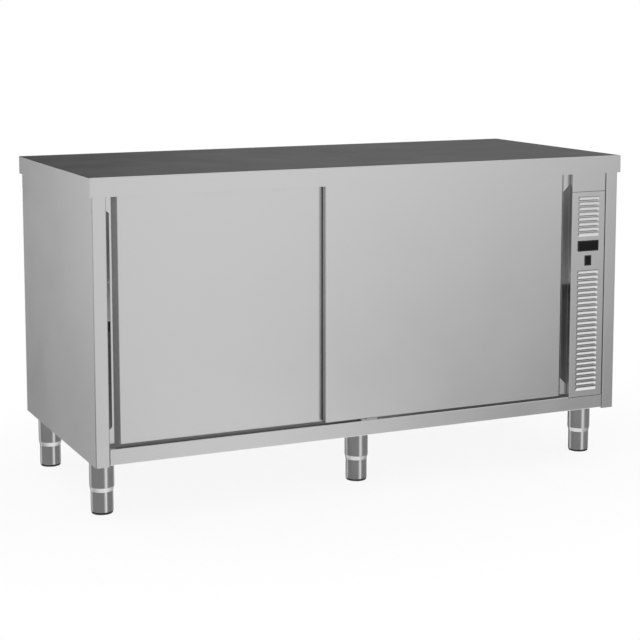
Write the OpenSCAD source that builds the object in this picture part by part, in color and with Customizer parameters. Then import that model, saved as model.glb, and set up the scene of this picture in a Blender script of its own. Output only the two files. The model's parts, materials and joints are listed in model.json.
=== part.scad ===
// Plate warmer cabinet: a heated stainless cupboard with two hanging sliding doors,
// a blower column behind a louvred cover on the right, and six adjustable legs.
// X runs along the length, Y from front to back, Z up, and the floor is at Z = 0.

/* [Overall] */
// Length of the worktop
top_length = 1600; // [1400:50:2000]
// Depth of the worktop, front to back
top_depth = 700; // [600:10:800]
// Height of the worktop above the floor
top_height = 900; // [850:10:950]
// Height of the worktop's folded edge
top_edge = 50; // [46:1:60]
// Inset of the body from the worktop's edge
body_inset = 6; // [5:0.5:12]
// Height of the body's underside above the floor
leg_height = 150; // [130:5:180]

/* [Sheet metal] */
// Thickness of the body panels
sheet = 1.2; // [1:0.1:1.5]
// Thickness of the worktop sheet
top_sheet = 1.5; // [1.2:0.1:2]
// Outside radius of a folded edge
bend_r = 2.4; // [2:0.1:3]
// Width of the inward lip under the worktop's sides and back
top_lip = 12; // [10:1:20]
// Thickness of the hem along the worktop's front edge
hem = 3; // [2.5:0.1:4]
// Thickness of the board under the worktop
board_t = 18; // [12:1:22]

/* [Body] */
// Width of the front corner posts
post_w = 38; // [32:1:45]
// Depth of a corner post's return
post_return = 38; // [30:1:42]
// Width of the rear flange of a side panel
rear_flange = 24; // [15:1:30]
// Height of the front rail's face
rail_h = 42; // [36:1:50]
// How far the rail's lower edge stands above the side panels' lower edge
rail_rise = 3; // [2:0.5:5]
// Depth of the front rail's lower return
rail_return = 20; // [15:1:30]
// Height of the base tray's upstand
tray_h = 25; // [15:1:32]
// Visible joint between the rail or column covers and the right-hand post
post_seam = 2; // [1:0.5:3]

/* [Doors] */
// How far the closed doors overlap
door_overlap = 176; // [120:2:220]
// Thickness of a door
door_t = 16; // [14:0.5:18]
// Distance from the front door's face to the rear door's face
door_pitch = 20; // [19:0.5:24]
// Gap between the rail and the doors' lower edges
door_gap = 7; // [6:0.5:10]
// How far the doors rise behind the worktop's edge
door_rise = 6; // [4:0.5:8]
// Gap between a closed door and the post or column it closes against
door_stop_gap = 1; // [0.8:0.1:2]
// Width of the flange that carries the finger pull
pull_flange = 21.5; // [19:0.5:26]
// Width of the sloped wall beside the finger pull
pull_slope = 12.5; // [10:0.5:16]
// Width of the flange left beside the rear door's finger cut-out
pull_strip_rear = 5; // [2:0.5:8]
// Width of the flange left beside the front door's finger cut-out
pull_strip_front = 0.5; // [0.5:0.5:8]
// Distance from a door's lower edge to the finger cut-out
pull_low = 28; // [20:1:60]
// Distance from a door's upper edge to the finger cut-out
pull_high = 36; // [25:1:60]
// Width of the lips on both sides of a door's lower groove
groove_lip = 3; // [2:0.1:3.5]
// Depth of a door's lower groove
groove_h = 14; // [12:1:20]

/* [Door gear] */
// Outside radius of a door wheel
wheel_r = 12; // [11:0.5:13]
// Radius at the root of a door wheel's groove
wheel_root_r = 9.5; // [8.5:0.5:10]
// Width of a door wheel
wheel_w = 7; // [6:0.2:7]
// Radius of a door wheel's axle
axle_r = 3; // [2:0.5:4]
// Distance from a door's end to its nearest wheel
wheel_inset = 112; // [60:2:160]
// Thickness of the door track's walls
track_t = 1.5; // [1.2:0.1:2]
// Thickness of the rail that a wheel runs on
fin_t = 2; // [1.6:0.1:2.2]
// Height of the rail that a wheel runs on
fin_h = 8; // [6:0.5:9]
// Gap between a door's upper edge and the track
track_gap = 8; // [6:0.5:9]
// Thickness of a hanger plate
hanger_t = 2; // [1.5:0.1:2.2]
// Width of a hanger
hanger_w = 60; // [45:1:80]
// Length of the stop bar beside the guide pins
guide_bar = 42; // [20:1:60]
// Radius of a guide pin on the rail
guide_r = 4; // [3:0.1:4]
// Distance from the middle of the doorway to the guide pins
guide_shift = 30; // [0:2:50]

/* [Control column] */
// Width of the column between the doorway and the right-hand post
column_w = 116; // [108:2:150]
// Width of the wall's flange behind the column covers
wall_flange = 20; // [15:1:30]
// Depth of the column covers' folded returns
cover_return = 15; // [12:1:20]
// Joint between the column's covers
cover_seam = 1.2; // [0.8:0.1:2]
// Height of the plain cover at the top of the column
blank_h = 52; // [40:1:70]
// How far the louvred cover reaches below the top of the front rail
cover_drop = 2.5; // [1:0.5:4]
// Length of a louvre
louvre_w = 69; // [50:1:74]
// Height of a louvre
louvre_h = 11; // [9:0.5:12]
// How far a louvre's lip stands out
louvre_out = 4.4; // [3:0.1:4.8]
// Distance from one louvre to the next
louvre_pitch = 15; // [14:0.25:15.5]
// Number of louvres above the thermostat
louvres_high = 8; // [4:1:8]
// Least plain height below the last louvre
louvre_margin = 12; // [8:1:60]
// Distance from the cover's top to the first upper louvre
louvre_high_at = 14.3; // [10:0.1:18]
// Distance from the cover's top to the first lower louvre
louvre_low_at = 230.4; // [226:0.1:236]
// Distance from the cover's top to the middle of the thermostat
thermostat_at = 158; // [154:0.5:162]
// Width of the thermostat's bezel
thermostat_w = 70; // [64:1:78]
// Height of the thermostat's bezel
thermostat_h = 31; // [28:1:34]
// Depth of the thermostat's case behind the cover
thermostat_d = 58; // [40:1:80]
// Distance from the cover's top to the middle of the switch
switch_at = 201; // [199:0.5:205]
// Width of the switch's frame
switch_w = 22; // [20:0.5:24]
// Height of the switch's frame
switch_h = 30; // [28:0.5:32]

/* [Heated chamber] */
// Gap between the chamber and the outer back, for insulation
back_gap = 44; // [30:1:60]
// Gap between the chamber's left wall and the corner post
wall_step = 6; // [4:1:10]
// Gap between the chamber's ceiling and the worktop's lower edge
ceiling_drop = 14; // [10:1:30]
// Height of the middle shelf above the chamber's floor
shelf_at = 325; // [250:5:400]
// Height of the shelf's folded front edge
shelf_edge = 30; // [20:1:40]
// Width of a shelf support
support_w = 18; // [14:1:25]
// Length of the rear shelf support
support_l = 400; // [200:10:600]

/* [Blower] */
// Radius of the fan's impeller
fan_r = 70; // [50:1:78]
// Length of the impeller's blades
blade_l = 36; // [25:1:40]
// Number of blades
blades = 24; // [12:1:30]
// Radius of the heater's ring
heater_r = 88; // [84:1:94]
// Radius of the heater's tube
heater_tube_r = 4; // [3:0.25:4.5]
// Half the side of the blower's casing
casing_half = 105; // [102:1:120]
// Depth of the blower's casing
casing_d = 62; // [58:1:66]
// Radius of the motor
motor_r = 40; // [30:1:48]
// Length of the motor
motor_l = 58; // [40:1:70]
// Radius of the motor's shaft
shaft_r = 4; // [3:0.5:5]
// Height of the fan's axis above the chamber's floor
fan_at = 300; // [250:5:350]
// Distance from the middle of the cabinet's depth to the fan's axis
fan_y = 60; // [0:5:100]
// Distance from the rear legs forward to the cable gland
gland_ahead = 118; // [100:2:160]
// Distance from the column's wall to the cable gland
gland_out = 90; // [60:2:110]
// Radius of the gland's thread in the base tray
gland_r = 10; // [8:0.5:12]
// Radius of the gland's bore for the mains cable
cable_r = 4.5; // [3.5:0.25:6]

/* [Legs] */
// Distance from the worktop's end to the outer legs
leg_inset_x = 53; // [53:1:90]
// Distance from the worktop's front to the front legs
leg_inset_front = 112; // [100:1:160]
// Distance from the worktop's back to the rear legs
leg_inset_back = 82; // [75:1:130]
// Radius of a leg's tube
leg_r = 33; // [28:0.5:35]
// Wall of a leg's tube
leg_wall = 2; // [1.5:0.1:3]
// Side of a leg's mounting plate
leg_plate = 84; // [82:1:90]
// Thickness of a leg's mounting plate
leg_plate_t = 4; // [3:0.1:5]
// Length of a leg's tube
leg_tube_l = 77; // [60:1:80]
// Radius of an adjustable foot
foot_r = 30; // [25:0.5:31]
// Height of the foot's sloped shoulder
shoulder_h = 12; // [6:0.5:15]
// Radius of a foot's threaded stem
stem_r = 8; // [6:0.5:10]
// Length of a foot's threaded stem
stem_l = 48; // [44:1:54]
// Thickness of the threaded plug in a leg's lower end
plug_t = 12; // [8:1:16]
// Distance from a mounting plate's edge to its screws
screw_inset = 9; // [8:0.5:12]
// Height of the black base under a foot
pad_h = 5.5; // [4:0.5:8]

/* [Hidden] */
$fn = 48;

STEEL = [0.72, 0.72, 0.72];
STEEL_DARK = [0.5, 0.5, 0.5];
STEEL_INNER = [0.66, 0.67, 0.68];
BLACK = [0.08, 0.08, 0.08];
NYLON = [0.85, 0.85, 0.82];
BOARD = [0.7, 0.58, 0.42];
INSULATION = [0.85, 0.8, 0.55];

// Small gaps: between parts that move past each other, in a running fit, and for a clean cut
slip = 0.3;
run = 0.05;
cut = 1;

// Main planes
end_x = top_length / 2;
edge_y = top_depth / 2;
edge_z = top_height - top_edge;
body_x = end_x - body_inset;
body_y = edge_y - body_inset;
front_y = -body_y;
post_x = body_x - post_w;
column_x = post_x - column_w;
rail_z = leg_height + rail_rise;
rail_top = rail_z + rail_h;
base_z = rail_z + sheet;

// Doors
doorway = column_x + post_x;
doorway_mid = (column_x - post_x) / 2;
door_w = (doorway - 2 * door_stop_gap + door_overlap) / 2;
door_z = rail_top + door_gap;
door_h = edge_z + door_rise - door_z;
pull_back = door_t - 2 * sheet;
pull_edge = pull_flange + pull_slope;
function pull_depth(i) = pull_flange - (i == 0 ? pull_strip_front : pull_strip_rear);
groove_z = door_z + groove_h;

// Door gear, per door: 0 is the front door, 1 the rear door
function wheel_y(i) = front_y + door_t / 2 + i * door_pitch;
function door_mid(i) = i == 0 ? column_x - door_stop_gap - door_w / 2 : door_stop_gap + door_w / 2 - post_x;
track_z = door_z + door_h + track_gap;
fin_top = track_z + fin_h;
wheel_z = fin_top + slip + wheel_root_r;
wheel_span = door_w / 2 - wheel_inset;
plate_y = wheel_w / 2 + 0.5;
track_front = 11;
track_back_y = wheel_y(1) + 10;
guide_x = doorway_mid + guide_shift;

// Column
cover_x0 = column_x;
cover_x1 = post_x - post_seam;
cover_mid = (cover_x0 + cover_x1) / 2;
cover_z0 = rail_top - cover_drop;
cover_z1 = edge_z - blank_h - cover_seam;
wall_x = column_x;
louvres_low = floor((cover_z1 - cover_z0 - louvre_low_at - louvre_h - louvre_margin) / louvre_pitch) + 1;
bezel_out = 2;
window_in = 0.8;
frame_out = 1.5;
thermostat_z = cover_z1 - thermostat_at;
switch_z = cover_z1 - switch_at;

// Legs: where the six stand
leg_xs = [-(end_x - leg_inset_x), 0, end_x - leg_inset_x];
leg_front_y = -(edge_y - leg_inset_front);
leg_rear_y = edge_y - leg_inset_back;
leg_top = base_z - leg_plate_t;
leg_end = leg_top - leg_tube_l;
foot_top = leg_end - slip;
screw_at = leg_plate / 2 - screw_inset;
screw_r = 3;

// Heated chamber
chamber_x = -(post_x - wall_step);
chamber_front = front_y + 2 * door_pitch + 1;
chamber_back = body_y - back_gap;
ceiling_z = edge_z - ceiling_drop;
shelf_z = rail_top + shelf_at;
shelf_front = chamber_front + 20;
fan_z = rail_top + fan_at;
gland_x = wall_x + gland_out;
gland_y = leg_rear_y - gland_ahead;

// A box given by two opposite corners
module box(a, b) translate(a) cube(b - a);

// A flat profile in Y and Z, drawn out along X from x0 to x1
module along_x(x0, x1) translate([x0, 0, 0]) rotate([90, 0, 90]) linear_extrude(x1 - x0) children();

// A flat profile in X and Z, drawn out along Y from y0 to y1
module along_y(y0, y1) translate([0, y1, 0]) rotate([90, 0, 0]) linear_extrude(y1 - y0) children();

// A cylinder along Y from y0 to y1, at x and z
module pin_y(x, z, r, y0, y1) translate([x, y0, z]) rotate([-90, 0, 0]) cylinder(r = r, h = y1 - y0);

// A rectangle from a to b whose two upper corners are round
module round_top(a, b, r) {
    translate(a) square([b.x - a.x, b.y - a.y - r]);
    translate([a.x + r, a.y]) square([b.x - a.x - 2 * r, b.y - a.y]);
    for (x = [a.x + r, b.x - r]) translate([x, b.y - r]) circle(r);
}

// A rectangle of size s, centred at c, with four round corners
module round_rect(c, s, r) translate(c) {
    square([s.x - 2 * r, s.y], center = true);
    square([s.x, s.y - 2 * r], center = true);
    for (x = [-1, 1], y = [-1, 1]) translate([x * (s.x / 2 - r), y * (s.y / 2 - r)]) circle(r);
}

// A strip of sheet folded at right angles, seen on edge: path is its middle line, t its thickness, r the
// outside radius of its folds
module folded(path, t, r) {
    n = len(path);
    mid_r = r - t / 2;
    dirs = [for (i = [0:n - 2]) (path[i + 1] - path[i]) / norm(path[i + 1] - path[i])];
    for (i = [0:n - 2]) {
        a = path[i] + dirs[i] * (i > 0 ? mid_r : 0);
        b = path[i + 1] - dirs[i] * (i < n - 2 ? mid_r : 0);
        w = [-dirs[i].y, dirs[i].x] * t / 2;
        polygon([a - w, b - w, b + w, a + w]);
    }
    for (i = [1:n - 2]) {
        to_a = -dirs[i] * 2 * mid_r;
        to_b = dirs[i - 1] * 2 * mid_r;
        translate(path[i] + (dirs[i] - dirs[i - 1]) * mid_r) intersection() {
            difference() {
                circle(mid_r + t / 2);
                circle(mid_r - t / 2);
            }
            polygon([[0, 0], to_a, to_a + to_b, to_b]);
        }
    }
}

// The worktop: one sheet folded down on all sides, with inward lips and a hemmed front edge
module worktop() color(STEEL) difference() {
    intersection() {
        along_x(-end_x, end_x) round_top([-edge_y, edge_z], [edge_y, top_height], bend_r);
        along_y(-edge_y, edge_y) round_top([-end_x, edge_z], [end_x, top_height], bend_r);
    }
    inner_x = end_x - top_sheet;
    inner_y = edge_y - top_sheet;
    inner_z = top_height - top_sheet;
    box([-inner_x, -edge_y + hem, edge_z + top_sheet], [inner_x, inner_y, inner_z]);
    box([-inner_x, -inner_y, edge_z + 3 * hem], [inner_x, inner_y, inner_z]);
    box([-end_x + top_lip, -edge_y + hem, edge_z - cut],
        [end_x - top_lip, edge_y - top_lip, edge_z + top_sheet + cut]);
}

// The board glued under the worktop, behind the door track
board_gap = 8;
module worktop_board() color(BOARD)
    box([-end_x + top_lip + board_gap, track_back_y + board_gap, top_height - top_sheet - board_t],
        [end_x - top_lip - board_gap, edge_y - top_lip - board_gap, top_height - top_sheet]);

// The twin door track: for each door a wall, a floor and an upright rail that the wheels straddle
module door_track() color(STEEL_INNER) along_x(-post_x + slip, column_x - slip) {
    roof = top_height - top_sheet;
    translate([wheel_y(0) - track_front, roof - track_t])
        square([track_back_y - wheel_y(0) + track_front, track_t]);
    for (i = [0, 1]) translate([wheel_y(i), track_z]) {
        translate([-track_front, 0]) square([track_t, roof - track_z]);
        translate([-track_front, 0]) square([track_front + fin_t / 2, track_t]);
        translate([-fin_t / 2, 0]) square([fin_t, fin_h]);
    }
}

// A side panel with its front corner post and rear flange folded from one sheet; this is the left one
module side_panel() color(STEEL) translate([0, 0, leg_height]) linear_extrude(edge_z - leg_height)
    folded([[-post_x - sheet / 2, front_y + post_return], [-post_x - sheet / 2, front_y + sheet / 2],
        [-body_x + sheet / 2, front_y + sheet / 2], [-body_x + sheet / 2, body_y - sheet / 2],
        [-body_x + rear_flange, body_y - sheet / 2]], sheet, bend_r);
module side_panel_left() side_panel();
module side_panel_right() mirror([1, 0, 0]) side_panel();

// The outer back, inside the side panels' rear flanges
module back_panel() color(STEEL)
    box([-body_x + bend_r, body_y - 2 * sheet, rail_z], [body_x - bend_r, body_y - sheet, edge_z]);

// The base tray: stands on the leg plates and the rail's lower return, cut back round the corner posts
module base_panel() color(STEEL_INNER) difference() {
    back = body_y - 2 * sheet;
    union() {
        box([-body_x + sheet, front_y + post_return + cut, base_z], [body_x - sheet, back, base_z + sheet]);
        box([-post_x + cut, front_y + bend_r, base_z], [post_x - cut, back, base_z + sheet]);
        for (s = [-1, 1]) translate([s * (body_x - 1.5 * sheet), 0, 0])
            box([-sheet / 2, front_y + post_return + cut, base_z], [sheet / 2, back, base_z + tray_h]);
        box([-body_x + sheet, back - sheet, base_z], [body_x - sheet, back, base_z + tray_h]);
    }
    translate([gland_x, gland_y, base_z - cut]) cylinder(r = gland_r, h = sheet + 2 * cut);
}

// The front rail: face, lower return and the ledge under the doors, lower where the column stands
module front_rail() color(STEEL) difference() {
    column_end = column_x - door_stop_gap;
    back = chamber_front + cut;
    along_x(-post_x + sheet / 2, post_x - post_seam)
        folded([[front_y + rail_return, rail_z + sheet / 2], [front_y + sheet / 2, rail_z + sheet / 2],
            [front_y + sheet / 2, rail_top - sheet / 2], [chamber_front - sheet / 2, rail_top - sheet / 2],
            [chamber_front - sheet / 2, rail_top - tray_h / 2]], sheet, bend_r);
    box([column_end, front_y - cut, cover_z0 - cover_seam], [post_x, back, rail_top + cut]);
    box([column_end, front_y + rail_return + cut, rail_z - cut], [post_x, back, rail_top + cut]);
}

// The partition between the chamber and the column: a flange behind the covers, and the blower's slots
inlet_r = fan_r - 12;
slot_h = 6;
inlet_pitch = 2 * slot_h;
outlet_pitch = 3 * slot_h;
outlet_w = 22;
module wall_slot(y, z, w)
    box([wall_x - cut, y - w / 2, z - slot_h / 2], [wall_x + sheet + cut, y + w / 2, z + slot_h / 2]);
module column_wall() color(STEEL_INNER) difference() {
    translate([0, 0, base_z + sheet]) linear_extrude(edge_z - base_z - sheet)
        folded([[wall_x + wall_flange, front_y + cover_return + sheet / 2],
            [wall_x + sheet / 2, front_y + cover_return + sheet / 2],
            [wall_x + sheet / 2, body_y - 3 * sheet - slip]], sheet, bend_r);
    for (i = [-4:4]) if (abs(i) * inlet_pitch < inlet_r)
        wall_slot(fan_y, fan_z + i * inlet_pitch, 2 * sqrt(pow(inlet_r, 2) - pow(i * inlet_pitch, 2)));
    for (i = [-4:4], s = [-1, 1])
        wall_slot(fan_y + s * (heater_r - 2), fan_z + i * outlet_pitch, outlet_w);
}

// The chamber's left wall, with a flange towards the corner post
module chamber_wall_left() color(STEEL_INNER) translate([0, 0, rail_top]) linear_extrude(ceiling_z - rail_top)
    folded([[-post_x, chamber_front + sheet / 2], [chamber_x - sheet / 2, chamber_front + sheet / 2],
        [chamber_x - sheet / 2, chamber_back]], sheet, bend_r);

// The chamber's back wall
module chamber_wall_back() color(STEEL_INNER)
    box([chamber_x - sheet, chamber_back, rail_top], [wall_x, chamber_back + sheet, ceiling_z]);

// The chamber's floor, a pan turned over so that its edges stand on the base tray
module chamber_floor() color(STEEL_INNER) difference() {
    box([chamber_x - sheet, chamber_front, base_z + sheet], [wall_x, chamber_back + sheet, rail_top]);
    box([chamber_x, chamber_front - cut, base_z], [wall_x - sheet, chamber_back, rail_top - sheet]);
}

// The chamber's ceiling, turned up at the front behind the door track
module chamber_ceiling() color(STEEL_INNER) along_x(chamber_x - sheet, wall_x)
    folded([[chamber_front + sheet / 2, fin_top], [chamber_front + sheet / 2, ceiling_z + sheet / 2],
        [chamber_back + sheet, ceiling_z + sheet / 2]], sheet, bend_r);

// The lift-out middle shelf, with a boxed front edge and a rear upstand
module middle_shelf() color(STEEL_INNER) along_x(chamber_x + 1, wall_x - 1)
    folded([[shelf_front + shelf_edge / 2, shelf_z - shelf_edge + sheet / 2],
        [shelf_front, shelf_z - shelf_edge + sheet / 2],
        [shelf_front, shelf_z + sheet / 2], [chamber_back - 2, shelf_z + sheet / 2],
        [chamber_back - 2, shelf_z + shelf_edge / 2]], sheet, bend_r);

// The angles that the shelf rests on: left, right and back
module shelf_supports() color(STEEL_DARK) {
    for (s = [0, 1]) translate([s == 0 ? chamber_x : wall_x, 0, shelf_z]) mirror([s, 0, 0]) {
        box([0, shelf_front + shelf_edge, -sheet], [support_w, chamber_back - support_w - slip, 0]);
        box([0, shelf_front + shelf_edge, -support_w], [sheet, chamber_back - support_w - slip, 0]);
    }
    translate([doorway_mid - support_l / 2, chamber_back, shelf_z]) {
        box([0, -support_w, -sheet], [support_l, 0, 0]);
        box([0, -sheet, -support_w], [support_l, 0, 0]);
    }
}

// A column cover: a shallow pan with round front corners, from z0 to z1
module cover_pan(z0, z1) difference() {
    translate([0, 0, z0]) linear_extrude(z1 - z0) mirror([0, 1])
        round_top([cover_x0, -front_y - cover_return], [cover_x1, -front_y], bend_r);
    box([cover_x0 + sheet, front_y + sheet, z0 + sheet],
        [cover_x1 - sheet, front_y + cover_return + cut, z1 - sheet]);
}

// A pressed louvre, opening upwards at its lip. Its front slopes from the lip down to the sheet, and its
// ends are round. t is the sheet's thickness for the space inside the louvre and 0 for its outside
lip_h = 0.2 * louvre_h;
lip_r = 3.2;
function slope_shift(t) = t * norm([louvre_out, louvre_h - lip_h]) / (louvre_h - lip_h);
module louvre_hood(t, back) intersection() {
    front = slope_shift(t) - louvre_out;
    low = -lip_h - (back - front) * (louvre_h - lip_h) / louvre_out;
    translate([0, 0, low - cut]) linear_extrude(cut - low) mirror([0, 1])
        round_top([t - louvre_w / 2, -back], [louvre_w / 2 - t, louvre_out - t], lip_r - t);
    along_x(-louvre_w / 2, louvre_w / 2) polygon([[back, 0], [front, 0], [front, -lip_h], [back, low]]);
}

// Every louvre's place, counted from its lip
module at_louvres() for (z = concat([for (i = [0:louvres_high - 1]) louvre_high_at + i * louvre_pitch],
    [for (i = [0:louvres_low - 1]) louvre_low_at + i * louvre_pitch]))
    translate([cover_mid, front_y, cover_z1 - z]) children();

// The plain cover at the top of the column
module column_blank() color(STEEL) cover_pan(edge_z - blank_h, edge_z);

// The louvred cover, with the cut-outs for the thermostat and the switch
module louvred_cover() color(STEEL) difference() {
    union() {
        cover_pan(cover_z0, cover_z1);
        at_louvres() louvre_hood(0, sheet / 2);
    }
    at_louvres() louvre_hood(0.8 * sheet, sheet + cut);
    along_y(front_y - cut, front_y + 2 * sheet) {
        translate([cover_mid, thermostat_z]) square([thermostat_w, thermostat_h] - 3 * [1, 1], center = true);
        translate([cover_mid, switch_z]) square([switch_w, switch_h] - [2, 3], center = true);
    }
}

// The digital thermostat: bezel in front of the cover and case behind it
case_gap = 1.7;
bezel_rim = 3;
module thermostat() color(BLACK) difference() {
    union() {
        along_y(front_y - bezel_out, front_y)
            round_rect([cover_mid, thermostat_z], [thermostat_w, thermostat_h], bezel_out);
        along_y(front_y, front_y + thermostat_d) translate([cover_mid, thermostat_z])
            square([thermostat_w, thermostat_h] - 2 * case_gap * [1, 1], center = true);
    }
    along_y(front_y - bezel_out - cut, front_y - window_in) translate([cover_mid, thermostat_z])
        square([thermostat_w, thermostat_h] - 2 * bezel_rim * [1, 1], center = true);
}

// The dark window in the thermostat's bezel
module thermostat_window() color([0.03, 0.03, 0.04])
    along_y(front_y - bezel_out + slip, front_y - window_in) translate([cover_mid, thermostat_z])
        square([thermostat_w, thermostat_h] - 2 * (bezel_rim + 0.1) * [1, 1], center = true);

// The switch's frame and case, with the well that the rocker sits in and the sockets for its pivot
rocker_w = switch_w - 7;
rocker_h = switch_h - 8;
rocker_y = front_y + 2;
rocker_tilt = 7;
pivot_r = 1.2;
pivot_l = 1.5;
case_d = 22;
well_d = 14;
module switch_housing() color(BLACK) difference() {
    union() {
        along_y(front_y - frame_out, front_y)
            round_rect([cover_mid, switch_z], [switch_w, switch_h], frame_out);
        along_y(front_y, front_y + case_d) translate([cover_mid, switch_z])
            square([switch_w, switch_h] - 2 * [1.2, case_gap], center = true);
    }
    along_y(front_y - frame_out - cut, front_y + well_d) translate([cover_mid, switch_z])
        square([rocker_w, rocker_h], center = true);
    translate([cover_mid - rocker_w / 2 - pivot_l, rocker_y, switch_z]) rotate([0, 90, 0])
        cylinder(r = pivot_r + run, h = rocker_w + 2 * pivot_l);
}

// The rocker, resting in its off position: two shallow slopes in front and a body behind, cut round its pivot
module switch_rocker() color([0.12, 0.12, 0.12]) translate([cover_mid, rocker_y, switch_z])
    rotate([rocker_tilt, 0, 0]) {
        half_w = rocker_w / 2 - slip;
        half_h = rocker_h / 2 - 1.1;
        end_y = -4;
        middle_y = -2.7;
        body_d = 7;
        along_x(-half_w, half_w) intersection() {
            polygon([[end_y, half_h], [middle_y, 0], [end_y, -half_h], [body_d, -half_h], [body_d, half_h]]);
            circle(norm([end_y, half_h]));
        }
        translate([-half_w - pivot_l + 0.1, 0, 0]) rotate([0, 90, 0])
            cylinder(r = pivot_r, h = 2 * (half_w + pivot_l - 0.1));
    }

// The tubular heater: a ring round the impeller whose two ends leave through the casing
heater_x = wall_x + sheet + casing_d / 2;
heater_open = 8;
heater_tail = 14;
module heater_ring() color(STEEL_DARK) translate([heater_x, fan_y, fan_z]) rotate([0, 90, 0]) {
    rotate([0, 0, 90 + heater_open]) rotate_extrude(angle = 360 - 2 * heater_open)
        translate([heater_r, 0]) circle(heater_tube_r);
    for (s = [-1, 1]) rotate([0, 0, 90 + s * heater_open]) translate([heater_r, 0, 0]) {
        sphere(heater_tube_r);
        cylinder(r = heater_tube_r, h = casing_d / 2 + heater_tail);
    }
}

// The motor on the casing, with the bearing bore that the impeller's shaft turns in
motor_x = wall_x + sheet + casing_d;
flange_w = 6;
flange_t = 3;
module fan_motor() color(STEEL_DARK) translate([motor_x, fan_y, fan_z]) rotate([0, 90, 0]) difference() {
    union() {
        cylinder(r = motor_r + flange_w, h = flange_t);
        cylinder(r = motor_r, h = motor_l);
        translate([0, 0, motor_l]) cylinder(r = motor_r / 3, h = flange_w);
    }
    translate([0, 0, -cut]) cylinder(r = shaft_r + run, h = motor_l);
}

// The impeller: front ring, blades, back plate, hub and shaft
impeller_at = 10;
plate_t = 2;
ring_w = 16;
blade_w = 13;
blade_t = 1.2;
blade_turn = 35;
hub_l = 14;
module fan_impeller() color(STEEL_INNER)
    translate([wall_x + sheet + impeller_at, fan_y, fan_z]) rotate([0, 90, 0]) {
        difference() {
            cylinder(r = fan_r, h = plate_t);
            translate([0, 0, -cut]) cylinder(r = fan_r - ring_w, h = plate_t + 2 * cut);
        }
        for (i = [0:blades - 1]) rotate([0, 0, i * 360 / blades])
            translate([fan_r - 9, 0, plate_t / 2]) rotate([0, 0, blade_turn])
                translate([-blade_w / 2, -blade_t / 2, 0]) cube([blade_w, blade_t, blade_l]);
        translate([0, 0, blade_l]) cylinder(r = fan_r, h = plate_t);
        translate([0, 0, blade_l - hub_l]) {
            cylinder(r = 3 * shaft_r, h = hub_l);
            cylinder(r = shaft_r, h = casing_d - impeller_at - blade_l + hub_l + motor_l / 2);
        }
    }

// The blower's casing, a box open towards the partition
module blower_casing() color(STEEL_INNER) translate([wall_x + sheet, fan_y, fan_z]) difference() {
    inner = casing_half - sheet;
    box([0, -casing_half, -casing_half], [casing_d, casing_half, casing_half]);
    box([-cut, -inner, -inner], [casing_d - sheet, inner, inner]);
    rotate([0, 90, 0]) {
        cylinder(r = motor_r - flange_w, h = casing_d + cut);
        for (s = [-1, 1]) rotate([0, 0, 90 + s * heater_open]) translate([heater_r, 0, 0])
            cylinder(r = heater_tube_r + slip, h = casing_d + cut);
    }
}

// The thermostat's probe in its two clips, high on the partition
probe_r = 3;
probe_l = 60;
probe_out = 7;
clip_w = 6;
module temperature_probe() color(STEEL_DARK)
    translate([wall_x - probe_out, gland_y + 2 * block_gap - clip_w, ceiling_z - 2 * probe_out]) {
        rotate([-90, 0, 0]) cylinder(r = probe_r, h = probe_l);
        for (y = [clip_w, probe_l - 2 * clip_w])
            box([-probe_r - 1, y, -probe_r - 1], [probe_out, y + clip_w, probe_r + 1]);
    }

// The mains terminal block on the base tray, with a pocket at each end of every terminal
block_gap = 30;
block = [72, 26, 22];
ways = 6;
way_w = 7;
way_depth = 7;
way_z = 8;
module terminal_block() color(NYLON)
    translate([gland_x - block_gap, gland_y + block_gap, base_z + sheet]) difference() {
        pitch = (block.x - way_w) / ways;
        cube(block);
        for (i = [0:ways - 1], y = [-cut, block.y - way_depth])
            translate([(i + 0.5) * pitch, y, way_z]) cube([way_w, way_depth + cut, block.z]);
    }

// The cable gland in the base tray: hexagon and cap below, thread through the tray, locknut inside
hex_r = 13.5;
hex_h = 7;
cap_h = 13;
nut_h = 5;
thread_l = 20;
module cable_gland() color(BLACK) translate([gland_x, gland_y, base_z]) difference() {
    union() {
        translate([0, 0, -hex_h]) cylinder(r = hex_r, h = hex_h, $fn = 6);
        translate([0, 0, -hex_h - cap_h]) cylinder(r = hex_r - 2, h = cap_h);
        translate([0, 0, -hex_h]) cylinder(r = gland_r - slip, h = thread_l);
        translate([0, 0, sheet]) cylinder(r = hex_r, h = nut_h, $fn = 6);
    }
    translate([0, 0, -hex_h - cap_h - cut]) cylinder(r = cable_r, h = 2 * thread_l);
}

// The door guide on the rail: a strip, a stop bar, and for each door a washer and an upright pin
strip_t = 2;
bar_t = 5;
washer_r = 7.5;
washer_t = 4;
module door_guide() color(NYLON) {
    box([guide_x - guide_r, wheel_y(0) - bar_t, rail_top],
        [guide_x + guide_bar, wheel_y(1) + bar_t, rail_top + strip_t]);
    box([guide_x + washer_r + cut, wheel_y(0) - bar_t - cut, rail_top],
        [guide_x + guide_bar, wheel_y(0) + guide_r, rail_top + bar_t]);
    for (i = [0, 1]) translate([guide_x, wheel_y(i), rail_top]) {
        cylinder(r = washer_r, h = washer_t);
        cylinder(r = guide_r, h = door_gap + groove_h - bar_t);
    }
}

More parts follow.
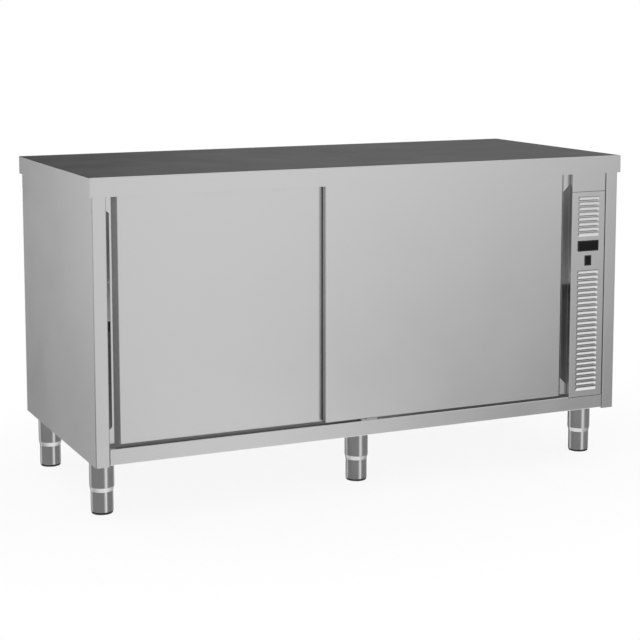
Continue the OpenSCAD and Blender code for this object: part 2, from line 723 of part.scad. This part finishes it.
// A door's plan, seen from above: its finger pull is at x = 0 and its face at y = 0. slope_fold is how far
// the fold between the face and the sloped wall reaches for an outside radius of 1
slope_l = norm([pull_slope, pull_back]);
slope_fold = (slope_l - pull_slope) / pull_back;
inner_k = slope_fold * sheet;
fold_l = slope_fold * bend_r;
module skin_plan() difference() {
    union() {
        polygon([[0, pull_back], [pull_flange, pull_back],
            [pull_edge - fold_l * pull_slope / slope_l, fold_l * pull_back / slope_l],
            [pull_edge + fold_l, 0],
            [door_w - bend_r, 0], [door_w, bend_r], [door_w, door_t], [0, door_t]]);
        for (x = [pull_edge + fold_l, door_w - bend_r]) translate([x, bend_r]) circle(bend_r);
    }
    polygon([[-cut, pull_back + sheet], [pull_flange + inner_k, pull_back + sheet],
        [pull_edge + inner_k, sheet], [door_w - sheet, sheet], [door_w - sheet, door_t + cut],
        [-cut, door_t + cut]]);
}
module skin_top_plan() polygon([[pull_flange + inner_k / 2, pull_back + sheet / 2],
    [pull_edge + inner_k / 2, sheet / 2], [door_w - bend_r, sheet / 2], [door_w - sheet / 2, bend_r],
    [door_w - sheet / 2, pull_back + sheet / 2]]);
function core_x(y) = pull_edge + inner_k + 2 * slip - (y - sheet) * pull_slope / pull_back;
module core_plan() {
    front = sheet + slip;
    back = door_t - sheet - slip;
    end = door_w - bend_r;
    polygon([[core_x(back), back], [core_x(front), front], [end, front], [end, back]]);
}

// The finger cut-out of door i, seen from the front, with its ends at 45 degrees
module pull_cut(i) along_y(pull_back - cut, door_t + cut)
    polygon([[-cut, pull_low - cut], [pull_depth(i), pull_low + pull_depth(i)],
        [pull_depth(i), door_h - pull_high - pull_depth(i)], [-cut, door_h - pull_high + cut]]);

// A door's outer skin: face, sloped wall, pull flange, closing wall, top and the lip beside the groove
module door_skin(i) {
    difference() {
        linear_extrude(door_h) skin_plan();
        pull_cut(i);
    }
    translate([0, 0, door_h - sheet]) linear_extrude(sheet) skin_top_plan();
    box([pull_edge + bend_r, sheet / 2, 0], [door_w - bend_r, groove_lip, sheet]);
}

// A door's inner skin, with the same finger cut-out
module door_liner(i) {
    difference() {
        box([0, door_t - sheet, 0], [door_w - sheet, door_t, door_h]);
        pull_cut(i);
    }
    box([pull_edge, door_t - groove_lip, 0], [door_w - sheet, door_t - sheet / 2, sheet]);
}

// A door's insulation, above the guide groove
module door_core() translate([0, 0, groove_h]) linear_extrude(door_h - sheet - groove_h) core_plan();

// A door's place: i is 0 for the right-hand door in front, 1 for the left-hand door behind it
module at_door(i) translate([door_mid(i), front_y + i * door_pitch, door_z]) mirror([i == 0 ? 1 : 0, 0, 0])
    translate([-door_w / 2, 0, 0]) children();

// Both hangers of a door: a foot screwed to the door's top, a tapered plate and a riveted axle
head_t = 1.4;
eye_r = axle_r + 6;
foot_front = 6;
module door_hangers(i) color(STEEL_DARK) for (s = [-1, 1])
    translate([door_mid(i) + s * wheel_span, wheel_y(i), door_z + door_h]) {
        up = wheel_z - door_z - door_h;
        plate_back = plate_y + hanger_t;
        box([-hanger_w / 2, -foot_front, 0], [hanger_w / 2, plate_back, hanger_t]);
        along_y(plate_y, plate_back) {
            polygon([[-hanger_w / 2, 0], [hanger_w / 2, 0], [eye_r, up], [-eye_r, up]]);
            translate([0, up]) circle(eye_r);
        }
        pin_y(0, up, axle_r, -plate_y - head_t, plate_back + head_t);
        pin_y(0, up, axle_r + head_t, plate_back, plate_back + head_t);
        pin_y(0, up, axle_r + head_t, -plate_y - head_t, -plate_y);
        for (x = [-hanger_w / 3, hanger_w / 3]) translate([x, -1, hanger_t]) cylinder(r = 4, h = head_t);
    }

// A grooved door wheel on its axle: i is the door, s the end of the door
module door_wheel(i, s) color(NYLON) translate([door_mid(i) + s * wheel_span, wheel_y(i), wheel_z])
    rotate([90, 0, 0]) rotate_extrude() {
        half = wheel_w / 2;
        root = fin_t / 2 + 0.5;
        mouth = root + 0.6;
        polygon([[axle_r + run, -half], [wheel_r, -half], [wheel_r, -mouth], [wheel_root_r, -root],
            [wheel_root_r, root], [wheel_r, mouth], [wheel_r, half], [axle_r + run, half]]);
    }

module door_left_skin() color(STEEL) at_door(1) door_skin(1);
module door_left_liner() color(STEEL_INNER) at_door(1) door_liner(1);
module door_left_core() color(INSULATION) at_door(1) door_core();
module door_left_hangers() door_hangers(1);
module door_left_wheel_a() door_wheel(1, -1);
module door_left_wheel_b() door_wheel(1, 1);
module door_right_skin() color(STEEL) at_door(0) door_skin(0);
module door_right_liner() color(STEEL_INNER) at_door(0) door_liner(0);
module door_right_core() color(INSULATION) at_door(0) door_core();
module door_right_hangers() door_hangers(0);
module door_right_wheel_a() door_wheel(0, -1);
module door_right_wheel_b() door_wheel(0, 1);

// The place of the leg in column i, counted from the left, in the front or rear row
module at_leg(i, front) translate([leg_xs[i], front ? leg_front_y : leg_rear_y, 0]) children();

// A leg: mounting plate, tube and the threaded plug in the tube's lower end
module leg(i, front) color(STEEL) at_leg(i, front) difference() {
    union() {
        translate([-leg_plate / 2, -leg_plate / 2, leg_top]) cube([leg_plate, leg_plate, leg_plate_t]);
        translate([0, 0, leg_end]) cylinder(r = leg_r, h = leg_tube_l);
    }
    translate([0, 0, leg_end + plug_t]) cylinder(r = leg_r - leg_wall, h = leg_tube_l - plug_t);
    translate([0, 0, leg_end - cut]) cylinder(r = stem_r + run, h = plug_t + 2 * cut);
    for (x = [-1, 1], y = [-1, 1]) translate([x * screw_at, y * screw_at, leg_top - cut])
        cylinder(r = screw_r + slip, h = leg_plate_t + 2 * cut);
}

// A foot: sloped shoulder, hollow barrel with a chamfered lower end, and threaded stem
module foot(i, front) color(STEEL) at_leg(i, front) {
    rotate_extrude() polygon([[foot_r - leg_wall, pad_h], [foot_r - leg_wall / 2, pad_h],
        [foot_r, pad_h + leg_wall / 2], [foot_r, foot_top - shoulder_h], [leg_r - 0.4, foot_top - 0.6],
        [leg_r - 1, foot_top], [0, foot_top], [0, foot_top - plug_t],
        [foot_r - leg_wall, foot_top - plug_t]]);
    translate([0, 0, foot_top - cut]) cylinder(r = stem_r, h = stem_l + cut);
}

// The black base pressed into a foot, with a round lower edge
pad_plug = 8;
module foot_pad(i, front) color(BLACK) at_leg(i, front) rotate_extrude() {
    round = pad_h - 1.5;
    pad_r = foot_r - 1;
    square([pad_r - round, pad_h]);
    translate([0, round]) square([pad_r, pad_h - round]);
    intersection() {
        translate([pad_r - round, round]) circle(round);
        square([pad_r, round]);
    }
    square([foot_r - leg_wall, pad_h + pad_plug]);
}

// The screws that hold the leg plates to the base tray
head_h = 3.5;
module leg_screws() color(STEEL_DARK) for (i = [0:2], front = [true, false]) at_leg(i, front)
    for (x = [-1, 1], y = [-1, 1]) translate([x * screw_at, y * screw_at, leg_top]) {
        translate([0, 0, -head_h]) cylinder(r = 5, h = head_h, $fn = 6);
        cylinder(r = screw_r, h = leg_plate_t);
    }

module leg_front_left() leg(0, true);
module leg_front_middle() leg(1, true);
module leg_front_right() leg(2, true);
module leg_rear_left() leg(0, false);
module leg_rear_middle() leg(1, false);
module leg_rear_right() leg(2, false);
module foot_front_left() foot(0, true);
module foot_front_middle() foot(1, true);
module foot_front_right() foot(2, true);
module foot_rear_left() foot(0, false);
module foot_rear_middle() foot(1, false);
module foot_rear_right() foot(2, false);
module pad_front_left() foot_pad(0, true);
module pad_front_middle() foot_pad(1, true);
module pad_front_right() foot_pad(2, true);
module pad_rear_left() foot_pad(0, false);
module pad_rear_middle() foot_pad(1, false);
module pad_rear_right() foot_pad(2, false);

worktop();
worktop_board();
door_track();
side_panel_left();
side_panel_right();
back_panel();
base_panel();
front_rail();
column_wall();
chamber_wall_left();
chamber_wall_back();
chamber_floor();
chamber_ceiling();
middle_shelf();
shelf_supports();
column_blank();
louvred_cover();
thermostat();
thermostat_window();
switch_housing();
switch_rocker();
heater_ring();
fan_motor();
fan_impeller();
blower_casing();
temperature_probe();
terminal_block();
cable_gland();
door_guide();
leg_front_left();
leg_front_middle();
leg_front_right();
leg_rear_left();
leg_rear_middle();
leg_rear_right();
foot_front_left();
foot_front_middle();
foot_front_right();
foot_rear_left();
foot_rear_middle();
foot_rear_right();
pad_front_left();
pad_front_middle();
pad_front_right();
pad_rear_left();
pad_rear_middle();
pad_rear_right();
leg_screws();
door_left_skin();
door_left_liner();
door_left_core();
door_left_hangers();
door_left_wheel_a();
door_left_wheel_b();
door_right_skin();
door_right_liner();
door_right_core();
door_right_hangers();
door_right_wheel_a();
door_right_wheel_b();
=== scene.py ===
"""The looks of the plate warmer cabinet: materials, studio and camera.

The CAD frame carries every shape. This script gives each surface its finish, stands the cabinet in a pale
studio and sets the camera at the photograph's viewing angle. Lengths are in metres, as in the frame.
"""
import json
import math

import bmesh
import bpy
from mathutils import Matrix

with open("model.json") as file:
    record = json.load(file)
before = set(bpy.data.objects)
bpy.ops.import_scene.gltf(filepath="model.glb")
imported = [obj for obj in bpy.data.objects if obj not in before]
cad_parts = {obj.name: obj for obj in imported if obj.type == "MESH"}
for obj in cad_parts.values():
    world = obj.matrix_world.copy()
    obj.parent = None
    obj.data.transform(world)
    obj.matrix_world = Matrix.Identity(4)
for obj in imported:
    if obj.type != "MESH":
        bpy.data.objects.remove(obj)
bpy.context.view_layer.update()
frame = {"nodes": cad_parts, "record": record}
nodes = frame["nodes"]
MM = 0.001
WHITE = "ffffff"


# Shared helpers

def srgb(code):
    """A hex colour as seen on a screen, turned into the linear value that a shader takes."""
    parts = [int(code[i:i + 2], 16) / 255 for i in (0, 2, 4)]
    return [p / 12.92 if p <= 0.04045 else ((p + 0.055) / 1.055) ** 2.4 for p in parts] + [1]


def add(tree, kind, settings, inputs):
    """Adds a shader node. An input is a value, or a socket that is linked to it."""
    node = tree.nodes.new("ShaderNode" + kind)
    for name, value in settings.items():
        setattr(node, name, value)
    for key, value in inputs.items():
        if isinstance(value, bpy.types.NodeSocket):
            tree.links.new(value, node.inputs[key])
        else:
            node.inputs[key].default_value = value
    return node


def maths(tree, operation, a, b=0.0):
    """One arithmetic step; returns its output."""
    return add(tree, "Math", {"operation": operation}, {0: a, 1: b}).outputs[0]


def ramp(tree, value, low, high, at_low, at_high):
    """A smooth step from at_low, where value is below low, to at_high, where it is above high."""
    step = add(tree, "MapRange", {"interpolation_type": "SMOOTHSTEP"},
               {"Value": value, "From Min": low, "From Max": high, "To Min": at_low, "To Max": at_high})
    return step.outputs["Result"]


def object_point(tree):
    return add(tree, "TexCoord", {}, {}).outputs["Object"]


def noise(tree, per_metre, detail=2.0):
    """A noise pattern; per_metre is its scale along X, Y and Z."""
    point = add(tree, "Mapping", {}, {"Vector": object_point(tree), "Scale": per_metre}).outputs["Vector"]
    return add(tree, "TexNoise", {}, {"Vector": point, "Scale": 1.0, "Detail": detail}).outputs["Fac"]


def blend_colour(tree, factor, dark, light):
    mix = add(tree, "Mix", {"data_type": "RGBA"}, {0: factor, 6: srgb(dark), 7: srgb(light)})
    return mix.outputs[2]


def surface(name, make):
    """A material whose surface is the shader that make(tree) returns."""
    material = bpy.data.materials.new(name)
    material.use_nodes = True
    tree = material.node_tree
    tree.nodes.clear()
    add(tree, "OutputMaterial", {}, {"Surface": make(tree)})
    return material


# Materials

# How far the clouds and the grain change a steel's roughness. The satin sheet stays below 0.27 with both. Above
# that, scribbles show in patches on the doors.
CLOUD_ROUGHNESS = 0.018
GRAIN_ROUGHNESS = 0.015
GRAIN_DEPTH = 0.001 * MM
CLOUDS_PER_METRE = (7, 7, 7)
WAVES_PER_METRE = (2.6, 2.6, 2.6)


def steel(name, dark, light, roughness, grain_per_metre, waviness):
    """Cold-rolled stainless sheet.

    A fine grain runs along the rolling direction, as long thin streaks a fraction of a millimetre wide. It
    varies the roughness, so highlights look silky. Soft clouds a hand wide change the tone slightly, as
    wiping does. A very shallow wave, waviness high, bends the reflections as thin sheet does between its folds.
    """
    def make(tree):
        grain = noise(tree, grain_per_metre, 3.0)
        clouds = noise(tree, CLOUDS_PER_METRE, 2.0)
        wave = noise(tree, WAVES_PER_METRE, 0.0)
        rough = maths(tree, "ADD",
                      ramp(tree, clouds, 0.3, 0.7, roughness - CLOUD_ROUGHNESS, roughness + CLOUD_ROUGHNESS),
                      ramp(tree, grain, 0.3, 0.7, -GRAIN_ROUGHNESS, GRAIN_ROUGHNESS))
        height = maths(tree, "ADD", maths(tree, "MULTIPLY", wave, waviness),
                       maths(tree, "MULTIPLY", grain, GRAIN_DEPTH))
        bump = add(tree, "Bump", {}, {"Strength": 1.0, "Distance": 1.0, "Height": height})
        tone = maths(tree, "ADD", maths(tree, "MULTIPLY", clouds, 0.6), maths(tree, "MULTIPLY", grain, 0.4))
        return add(tree, "BsdfPrincipled", {}, {
            "Base Color": blend_colour(tree, tone, dark, light), "Metallic": 1.0, "Roughness": rough,
            "Normal": bump.outputs["Normal"]}).outputs["BSDF"]
    return surface(name, make)


def moulded(name, dark, light, roughness, grain_mm, depth_mm, shine=0.5):
    """Moulded plastic or rubber: a close pebble grain, and patches where handling has left more gloss."""
    def make(tree):
        per_metre = 1 / (grain_mm * MM)
        pebble = noise(tree, (per_metre, per_metre, per_metre), 2.0)
        patches = noise(tree, (60, 60, 60), 2.0)
        bump = add(tree, "Bump", {}, {"Strength": 1.0, "Distance": 1.0,
                                      "Height": maths(tree, "MULTIPLY", pebble, depth_mm * MM)})
        return add(tree, "BsdfPrincipled", {}, {
            "Base Color": blend_colour(tree, patches, dark, light), "Specular IOR Level": shine,
            "Roughness": ramp(tree, patches, 0.3, 0.7, roughness - 0.05, roughness + 0.05),
            "Normal": bump.outputs["Normal"]}).outputs["BSDF"]
    return surface(name, make)


def mottled(name, dark, light, per_metre, roughness, metallic):
    """A surface seen only inside: two tones in patches, for chipboard, wool and painted or tinted metal."""
    def make(tree):
        patches = noise(tree, (per_metre, per_metre, per_metre), 4.0)
        return add(tree, "BsdfPrincipled", {}, {
            "Base Color": blend_colour(tree, ramp(tree, patches, 0.35, 0.65, 0.0, 1.0), dark, light),
            "Metallic": metallic, "Roughness": roughness}).outputs["BSDF"]
    return surface(name, make)


# Grain along the length and upright: streaks per metre along X, Y and Z
ALONG_X = (14, 1600, 1600)
UPRIGHT = (1600, 1600, 14)
satin_x = steel("satin stainless, grain along the length", "c6c6c6", "d2d2d2", 0.235, ALONG_X, 0.25 * MM)
satin_z = steel("satin stainless, upright grain", "c6c6c6", "d2d2d2", 0.235, UPRIGHT, 0.25 * MM)
inner = steel("mill-finish stainless", "b4b4b4", "c4c4c4", 0.32, ALONG_X, 0.3 * MM)
leg_steel = steel("polished stainless tube", "c8c8c8", "d4d4d4", 0.13, UPRIGHT, 0)
zinc = steel("zinc-plated steel", "8f9194", "a9abae", 0.38, UPRIGHT, 0)
black_rubber = moulded("black rubber", "0d0d0d", "171717", 0.6, 0.8, 0.02)
black_plastic = moulded("black grained plastic", "121212", "1c1c1c", 0.42, 0.5, 0.01)
rocker_plastic = moulded("black rocker plastic", "0c0c0c", "141414", 0.3, 1.2, 0.004, 0.2)
window = moulded("smoked display window", "08080a", "0e0e10", 0.12, 6, 0.004, 0.2)
nylon = moulded("natural nylon", "b9b9b2", "c9c9c2", 0.45, 0.7, 0.008)
board = mottled("chipboard", "8a6f4c", "b3946a", 420, 0.8, 0.0)
wool = mottled("mineral wool", "a79a5e", "c9bd82", 900, 0.95, 0.0)
heater = mottled("heat-tinted tube", "4a4038", "6b6259", 90, 0.45, 1.0)
motor_paint = mottled("motor paint", "262626", "323232", 260, 0.5, 0.0)

BY_SLOT = {"satin_steel": satin_x, "inner_steel": inner, "leg_steel": leg_steel, "zinc_plated_steel": zinc,
           "heater_tube": heater, "painted_motor": motor_paint, "black_rubber": black_rubber,
           "black_plastic": black_plastic, "rocker_plastic": rocker_plastic, "display_window": window,
           "nylon": nylon, "board": board, "insulation": wool}
UPRIGHT_NODES = ("side_panel_left", "side_panel_right", "back_panel", "column_blank", "louvred_cover")
for part in frame["record"]["subparts"]:
    name = part["node"]
    materials = nodes[name].data.materials
    materials.clear()
    materials.append(satin_z if name in UPRIGHT_NODES else BY_SLOT[part["material_slot"]])


# Studio

def studio_light(tree):
    """The light that arrives from each direction, in a studio with grey walls: a softbox in front with a low
    strip lamp beside it, a softbox at the back left with a dark gap beyond it, dimmer screens at the sides
    and behind, a pale ceiling and a bright floor. Angles are in degrees: turn is 0 in front of the doors and
    grows towards +X, up is 0 at the floor's level. The levels were tuned to the photograph."""
    place = add(tree, "SeparateXYZ", {}, {"Vector": add(tree, "VectorMath", {"operation": "NORMALIZE"},
                                                          {0: object_point(tree)}).outputs["Vector"]})
    x, y, z = (place.outputs[axis] for axis in "XYZ")
    degrees = math.degrees(1)
    turn = maths(tree, "MULTIPLY", maths(tree, "ARCTAN2", x, maths(tree, "MULTIPLY", y, -1.0)), degrees)
    up = maths(tree, "MULTIPLY", maths(tree, "ARCSINE", z), degrees)

    def product(*factors):
        result = factors[0]
        for factor in factors[1:]:
            result = maths(tree, "MULTIPLY", result, factor)
        return result

    def band(value, a, b, c, d):
        """1 between b and c, falling to 0 at a and at d."""
        return product(ramp(tree, value, a, b, 0, 1), ramp(tree, value, c, d, 1, 0))

    high = ramp(tree, up, -12, -5, 0, 1)
    behind = product(ramp(tree, turn, 115, 140, 0, 1), high)
    gap = band(turn, -180, -176, -169, -159)
    walls = product(ramp(tree, up, -16, 2, 0.23, 0.29), ramp(tree, behind, 0, 1, 1, 0.45),
                    ramp(tree, maths(tree, "ABSOLUTE", turn), 156, 180, 1, 0.3),
                    ramp(tree, gap, 0, 1, 1, 0.1))
    leaning = maths(tree, "SUBTRACT", turn, up)
    front = product(ramp(tree, turn, -6, 14, 0, 1), ramp(tree, leaning, 21, 62, 1, 0),
                    ramp(tree, up, 12, 40, 0.7, 0.1))
    strip = product(band(turn, 13, 19, 25, 32), band(up, -34, -26, -17, -11), 0.5)
    back_left = product(ramp(tree, turn, -162, -155, 0, 1), ramp(tree, turn, -132, -118, 0.7, 0),
                        ramp(tree, up, -16, -2, 0.6, 1))
    left_screen = product(band(turn, -118, -100, -5, 12), high, 0.36)
    right_screen = product(band(turn, 60, 80, 112, 132), high, 0.36)
    back_screen = product(band(turn, 100, 120, 165, 180), band(up, -60, -40, -14, -6), 0.3)
    ceiling = ramp(tree, up, 30, 70, 0, 0.8)
    skirt = ramp(tree, up, -30, -19, 0.3, 0)
    floor_glow = ramp(tree, up, -46, -28, 0.85, 0)
    total = walls
    for light in (front, strip, back_left, left_screen, right_screen, back_screen,
                  ceiling, skirt, floor_glow):
        total = maths(tree, "ADD", total, light)
    return add(tree, "Emission", {}, {"Color": srgb(WHITE), "Strength": total}).outputs["Emission"]


def stage_mesh(name, build, material):
    """A stage piece from a bmesh that build(bm) fills."""
    bm = bmesh.new()
    build(bm)
    mesh = bpy.data.meshes.new(name)
    bm.to_mesh(mesh)
    bm.free()
    mesh.materials.append(material)
    piece = bpy.data.objects.new(name, mesh)
    bpy.context.scene.collection.objects.link(piece)
    return piece


STUDIO_RADIUS = 9.0
FLOOR_RADIUS = 2.6
FLOOR_SHARE = 0.12  # how much of the floor shows over the backdrop, close to the cabinet


def floor_shader(tree):
    """Pale floor: it shows the cabinet's soft shadow close by and fades out into the backdrop."""
    flat = add(tree, "VectorMath", {"operation": "MULTIPLY"}, {0: object_point(tree), 1: (0.75, 1.15, 0.0)})
    away = add(tree, "VectorMath", {"operation": "LENGTH"}, {0: flat.outputs["Vector"]}).outputs["Value"]
    mottle = noise(tree, (40, 40, 40), 3.0)
    pale = add(tree, "BsdfDiffuse", {}, {
        "Color": blend_colour(tree, mottle, "f6f6f6", "fafafa")}).outputs["BSDF"]
    clear = add(tree, "BsdfTransparent", {}, {"Color": srgb(WHITE)}).outputs["BSDF"]
    share = ramp(tree, away, 0.5, 1.5, FLOOR_SHARE, 0.0)
    return add(tree, "MixShader", {}, {0: share, 1: clear, 2: pale}).outputs[0]


studio = stage_mesh("studio walls",
                    lambda bm: bmesh.ops.create_icosphere(bm, subdivisions=5, radius=STUDIO_RADIUS),
                    surface("studio light", studio_light))
studio.visible_camera = False
stage_mesh("floor", lambda bm: bmesh.ops.create_circle(bm, cap_ends=True, segments=96, radius=FLOOR_RADIUS),
           surface("pale floor", floor_shader))

# A dim lamp above and below the shelf, so that what shows past the finger pulls and open doors isn't black.
# The real cabinet has no such light. Each lamp has its height above the floor and its power, which was tuned
# to the photograph.
CHAMBER_LAMPS = ((0.83, 2.4), (0.5, 1.0))
for height, power in CHAMBER_LAMPS:
    fill = bpy.data.lights.new("chamber fill", "AREA")
    fill.shape = "RECTANGLE"
    fill.size, fill.size_y = 1.3, 0.5
    fill.energy = power
    lamp = bpy.data.objects.new("chamber fill", fill)
    lamp.location = (-0.05, 0.0, height)
    lamp.visible_camera = False
    bpy.context.scene.collection.objects.link(lamp)

# The backdrop: white where the camera looks past the cabinet, and in any metal or glass that shows it
world = bpy.data.worlds.new("backdrop")
bpy.context.scene.world = world
world.use_nodes = True
world.node_tree.nodes.clear()
path = add(world.node_tree, "LightPath", {}, {})
seen = maths(world.node_tree, "MAXIMUM", path.outputs["Is Camera Ray"],
             maths(world.node_tree, "MAXIMUM", path.outputs["Is Glossy Ray"],
                   path.outputs["Is Transmission Ray"]))
background = add(world.node_tree, "Background", {}, {
    "Color": srgb(WHITE), "Strength": ramp(world.node_tree, seen, 0.0, 1.0, 0.6, 1.0)})
add(world.node_tree, "OutputWorld", {}, {"Surface": background.outputs["Background"]})


# Camera: close to the photograph's. The photograph's optical axis lies at row 60, which would cut other views,
# so the axis is set at AXIS_ROW and the rest was fitted again. By calculation, edges lie up to 3 pixels off.
IMAGE = 640
FOCAL_PX = 1625
AXIS_ROW = 214
YAW, PITCH = math.radians(24.76), math.radians(7.02)
lens = bpy.data.cameras.new("camera")
lens.sensor_width = 36
lens.lens = FOCAL_PX * lens.sensor_width / IMAGE
lens.shift_y = (AXIS_ROW - IMAGE / 2) / IMAGE
camera = bpy.data.objects.new("camera", lens)
camera.location = (-1.971, -4.267, 1.308)
camera.rotation_euler = (math.pi / 2 - PITCH, 0, -YAW)
bpy.context.scene.collection.objects.link(camera)
bpy.context.scene.camera = camera
bpy.context.scene.view_settings.view_transform = "Standard"
